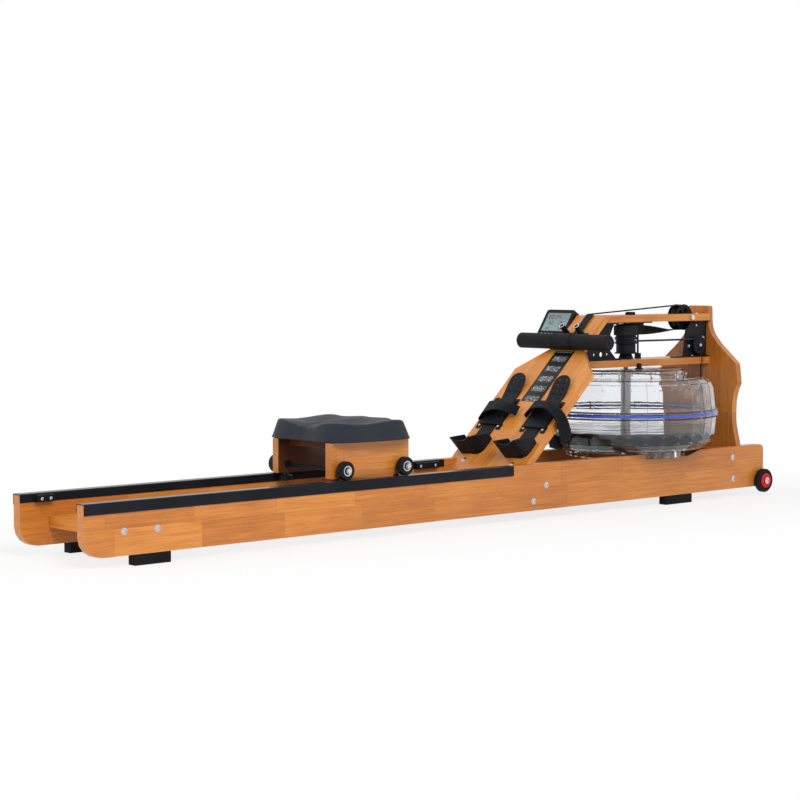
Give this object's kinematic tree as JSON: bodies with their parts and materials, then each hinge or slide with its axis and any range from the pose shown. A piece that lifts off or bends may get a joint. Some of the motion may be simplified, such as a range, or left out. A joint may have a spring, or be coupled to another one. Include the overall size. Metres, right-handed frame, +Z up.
{
  "type": "water rowing machine",
  "caption": "Wooden rowing machine with a rolling seat on rails, inclined footboard with heel sliders, strap-drawn handle and a clear water tank with a bladed rotor.",
  "frame": {"origin": "centre of the bounding box at floor level", "axes": "+X along the side boards from the rear end to the tank, +Y to the rower's left, +Z up"},
  "size_m": [2.12, 0.47, 0.503],
  "materials": {
    "wood": "satin varnish",
    "black_metal": "powder coated",
    "black_plastic": "moulded",
    "foot_rubber": "matte",
    "steel": "brushed",
    "clear_plastic": "clear and polished",
    "blue_seal": "satin",
    "water": "clear",
    "webbing": "woven",
    "cord_rubber": "braided sleeve",
    "wheel_tyre": "matte tyre on a red hub",
    "upholstery": "moulded foam, fine grain",
    "grip_rubber": "matte",
    "screen": "glossy"
  },
  "bodies": {
    "frame": {"left_side_board": "wood", "right_side_board": "wood", "rear_crossboard": "wood", "middle_crossboard": "wood", "front_crossboard": "wood", "footboard": "wood", "backboard": "wood", "top_shelf": "wood", "lower_shelf": "wood", "left_rail": "black_metal", "right_rail": "black_metal", "rear_left_foot": "foot_rubber", "rear_right_foot": "foot_rubber", "front_left_foot": "foot_rubber", "front_right_foot": "foot_rubber", "neck_bracket": "black_metal", "pulley_bracket": "black_metal", "lower_pulley_bracket": "black_metal", "upper_bearing": "black_plastic", "lower_bearing": "black_plastic", "handle_rest": "steel", "tank_lower_shell": "clear_plastic", "tank_upper_shell": "clear_plastic", "tank_seal": "blue_seal", "tank_lid": "clear_plastic", "water": "water", "pull_strap": "webbing", "bungee_cord": "cord_rubber", "transport_axle": "steel", "monitor_housing": "black_plastic", "monitor_screen": "screen", "left_foot_plate": "black_plastic", "right_foot_plate": "black_plastic", "left_foot_strap": "webbing", "right_foot_strap": "webbing"},
    "seat": {"seat_cushion": "upholstery", "seat_base": "wood", "left_carriage_board": "wood", "right_carriage_board": "wood", "rear_axle": "steel", "front_axle": "steel"},
    "rear_left_roller": {"rear_left_roller": "black_plastic"},
    "rear_right_roller": {"rear_right_roller": "black_plastic"},
    "front_left_roller": {"front_left_roller": "black_plastic"},
    "front_right_roller": {"front_right_roller": "black_plastic"},
    "rear_left_guide_wheel": {"rear_left_guide_wheel": "black_plastic"},
    "rear_right_guide_wheel": {"rear_right_guide_wheel": "black_plastic"},
    "front_left_guide_wheel": {"front_left_guide_wheel": "black_plastic"},
    "front_right_guide_wheel": {"front_right_guide_wheel": "black_plastic"},
    "handle": {"handle_grip": "grip_rubber"},
    "drum": {"drum": "black_plastic"},
    "rotor": {"paddle": "black_plastic", "paddle_shaft": "steel"},
    "strap_pulley": {"strap_pulley": "black_plastic"},
    "bungee_pulley": {"bungee_pulley": "black_plastic"},
    "lower_pulley": {"lower_pulley": "black_plastic"},
    "left_heel_slider": {"left_heel_slider": "black_plastic"},
    "right_heel_slider": {"right_heel_slider": "black_plastic"},
    "left_transport_wheel": {"left_transport_wheel": "wheel_tyre"},
    "right_transport_wheel": {"right_transport_wheel": "wheel_tyre"}
  },
  "joints": [
    {"name": "seat_slide", "type": "slide", "parent": "frame", "child": "seat", "axis": [1, 0, 0], "range_m": [-0.585, 0.213]},
    {"name": "rear_left_roller_spin", "type": "hinge", "parent": "seat", "child": "rear_left_roller", "pos_m": [-0.382, 0.122, 0.1543], "axis": [0, 1, 0], "continuous": true},
    {"name": "rear_right_roller_spin", "type": "hinge", "parent": "seat", "child": "rear_right_roller", "pos_m": [-0.382, -0.122, 0.1543], "axis": [0, 1, 0], "continuous": true},
    {"name": "front_left_roller_spin", "type": "hinge", "parent": "seat", "child": "front_left_roller", "pos_m": [-0.209, 0.122, 0.1543], "axis": [0, 1, 0], "continuous": true},
    {"name": "front_right_roller_spin", "type": "hinge", "parent": "seat", "child": "front_right_roller", "pos_m": [-0.209, -0.122, 0.1543], "axis": [0, 1, 0], "continuous": true},
    {"name": "rear_left_guide_spin", "type": "hinge", "parent": "seat", "child": "rear_left_guide_wheel", "pos_m": [-0.382, 0.0913, 0.124], "axis": [0, 0, 1], "continuous": true},
    {"name": "rear_right_guide_spin", "type": "hinge", "parent": "seat", "child": "rear_right_guide_wheel", "pos_m": [-0.382, -0.0913, 0.124], "axis": [0, 0, 1], "continuous": true},
    {"name": "front_left_guide_spin", "type": "hinge", "parent": "seat", "child": "front_left_guide_wheel", "pos_m": [-0.209, 0.0913, 0.124], "axis": [0, 0, 1], "continuous": true},
    {"name": "front_right_guide_spin", "type": "hinge", "parent": "seat", "child": "front_right_guide_wheel", "pos_m": [-0.209, -0.0913, 0.124], "axis": [0, 0, 1], "continuous": true},
    {"name": "handle_pull", "type": "slide", "parent": "frame", "child": "handle", "axis": [-1, 0, 0], "range_m": [0, 1.15], "stiffness_N_per_m": 25, "springref_m": -0.2, "deforming": ["pull_strap"]},
    {"name": "drum_spin", "type": "hinge", "parent": "frame", "child": "drum", "pos_m": [0.65, 0, 0.415], "axis": [0, 0, 1], "continuous": true},
    {"name": "rotor_spin", "type": "hinge", "parent": "frame", "child": "rotor", "pos_m": [0.65, 0, 0.2], "axis": [0, 0, 1], "continuous": true},
    {"name": "strap_pulley_spin", "type": "hinge", "parent": "frame", "child": "strap_pulley", "pos_m": [0.858, 0, 0.469], "axis": [0, 1, 0], "continuous": true},
    {"name": "bungee_pulley_spin", "type": "hinge", "parent": "frame", "child": "bungee_pulley", "pos_m": [0.8861, -0.036, 0.3957], "axis": [0, 1, 0], "continuous": true},
    {"name": "lower_pulley_spin", "type": "hinge", "parent": "frame", "child": "lower_pulley", "pos_m": [0.8861, -0.036, 0.09], "axis": [0, 1, 0], "continuous": true},
    {"name": "left_heel_slide", "type": "slide", "parent": "frame", "child": "left_heel_slider", "axis": [0.7181, 0, 0.6959], "range_m": [-0.013, 0.013]},
    {"name": "right_heel_slide", "type": "slide", "parent": "frame", "child": "right_heel_slider", "axis": [0.7181, 0, 0.6959], "range_m": [-0.013, 0.013]},
    {"name": "left_transport_wheel_spin", "type": "hinge", "parent": "frame", "child": "left_transport_wheel", "pos_m": [1.029, 0.145, 0.038], "axis": [0, 1, 0], "continuous": true},
    {"name": "right_transport_wheel_spin", "type": "hinge", "parent": "frame", "child": "right_transport_wheel", "pos_m": [1.029, -0.145, 0.038], "axis": [0, 1, 0], "continuous": true}
  ],
  "couplings": [
    {"joint": "rear_left_roller_spin", "follows": "seat_slide", "rad_per_m": 47.619},
    {"joint": "rear_right_roller_spin", "follows": "seat_slide", "rad_per_m": 47.619},
    {"joint": "front_left_roller_spin", "follows": "seat_slide", "rad_per_m": 47.619},
    {"joint": "front_right_roller_spin", "follows": "seat_slide", "rad_per_m": 47.619},
    {"joint": "rear_left_guide_spin", "follows": "seat_slide", "rad_per_m": 62.5},
    {"joint": "rear_right_guide_spin", "follows": "seat_slide", "rad_per_m": -62.5},
    {"joint": "front_left_guide_spin", "follows": "seat_slide", "rad_per_m": 62.5},
    {"joint": "front_right_guide_spin", "follows": "seat_slide", "rad_per_m": -62.5},
    {"joint": "drum_spin", "follows": "handle_pull", "rad_per_m": -32.765},
    {"joint": "rotor_spin", "follows": "handle_pull", "rad_per_m": -32.765},
    {"joint": "strap_pulley_spin", "follows": "handle_pull", "rad_per_m": -31.25},
    {"joint": "bungee_pulley_spin", "follows": "handle_pull", "rad_per_m": -51.43},
    {"joint": "lower_pulley_spin", "follows": "handle_pull", "rad_per_m": -51.43}
  ]
}
